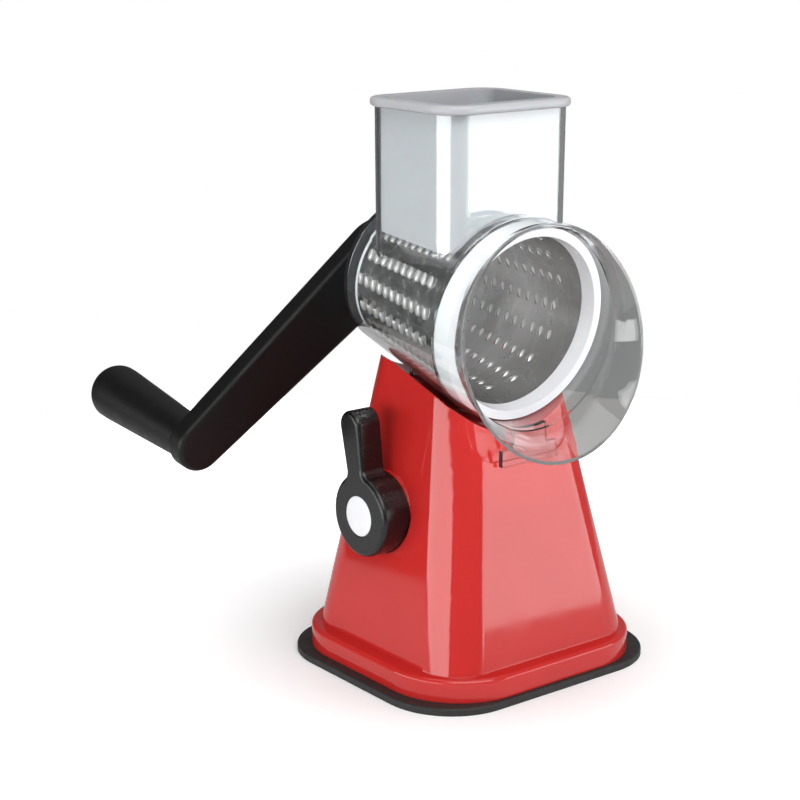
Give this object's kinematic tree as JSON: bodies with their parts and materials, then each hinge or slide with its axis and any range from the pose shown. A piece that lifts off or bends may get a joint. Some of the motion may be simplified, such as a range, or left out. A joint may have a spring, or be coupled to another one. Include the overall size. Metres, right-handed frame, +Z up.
{
  "type": "rotary cheese grater",
  "caption": "Hand-cranked drum grater: clear feed chamber with square chute and pusher, conical steel drum, and a tapered red base on a lever-locked suction pad.",
  "frame": {"origin": "on the table, under the middle of the base", "axes": "+Z up; the drum's mouth faces -Y, the crank is at +Y, the suction lever is on the -X side"},
  "size_m": [0.203, 0.255, 0.29],
  "materials": {
    "black_rubber": "matte",
    "red_abs": "gloss",
    "black_plastic": "satin",
    "white_plastic": "gloss",
    "frosted_plastic": "satin",
    "clear_plastic": "clear",
    "drum_steel": "bright",
    "screw_steel": "plain"
  },
  "bodies": {
    "base": {"suction_pad": "black_rubber", "base_housing": "red_abs", "base_plate": "black_plastic", "plate_screws": "screw_steel"},
    "lever": {"lever_knob": "black_plastic", "lever_cap": "white_plastic", "lever_screw": "screw_steel", "lever_shaft": "screw_steel", "eccentric": "white_plastic", "eccentric_screw": "screw_steel"},
    "puller": {"pull_yoke": "black_plastic", "pad_hub": "black_plastic", "stem_screw": "screw_steel"},
    "chamber": {"feed_chamber": "clear_plastic", "rear_bush": "white_plastic"},
    "crank": {"crank_arm": "black_plastic", "crank_screw": "screw_steel", "drive_shaft": "white_plastic", "grip_spindle": "screw_steel", "spindle_screw": "screw_steel"},
    "drum": {"drum_front_ring": "white_plastic", "drum_sheet": "drum_steel", "drum_hub": "white_plastic"},
    "grip": {"crank_grip": "black_plastic", "grip_cap": "black_plastic"},
    "pusher": {"pusher": "frosted_plastic"}
  },
  "joints": [
    {"name": "lever_turn", "type": "hinge", "parent": "base", "child": "lever", "pos_m": [-0.0498, 0.0075, 0.0843], "axis": [1, 0, 0], "range_deg": [0, 90]},
    {"name": "stem_lift", "type": "slide", "parent": "base", "child": "puller", "axis": [0, 0, 1], "range_m": [0, 0.0051]},
    {"name": "chamber_lift", "type": "slide", "parent": "base", "child": "chamber", "axis": [0, 0, 1], "range_m": [0, 0.08]},
    {"name": "crank_turn", "type": "hinge", "parent": "chamber", "child": "crank", "pos_m": [0, -0.0421, 0.1822], "axis": [0, 0.991, 0.134], "continuous": true},
    {"name": "drum_pull", "type": "slide", "parent": "crank", "child": "drum", "axis": [0, -0.991, -0.134], "range_m": [0, 0.1]},
    {"name": "grip_spin", "type": "hinge", "parent": "crank", "child": "grip", "pos_m": [-0.1095, 0.09568, 0.11253], "axis": [0, 0.991, 0.134], "continuous": true},
    {"name": "pusher_lift", "type": "slide", "parent": "chamber", "child": "pusher", "axis": [0, 0, 1], "range_m": [0, 0.06]}
  ],
  "couplings": [
    {"joint": "stem_lift", "follows": "lever_turn", "m_per_rad": 0.0032412}
  ]
}
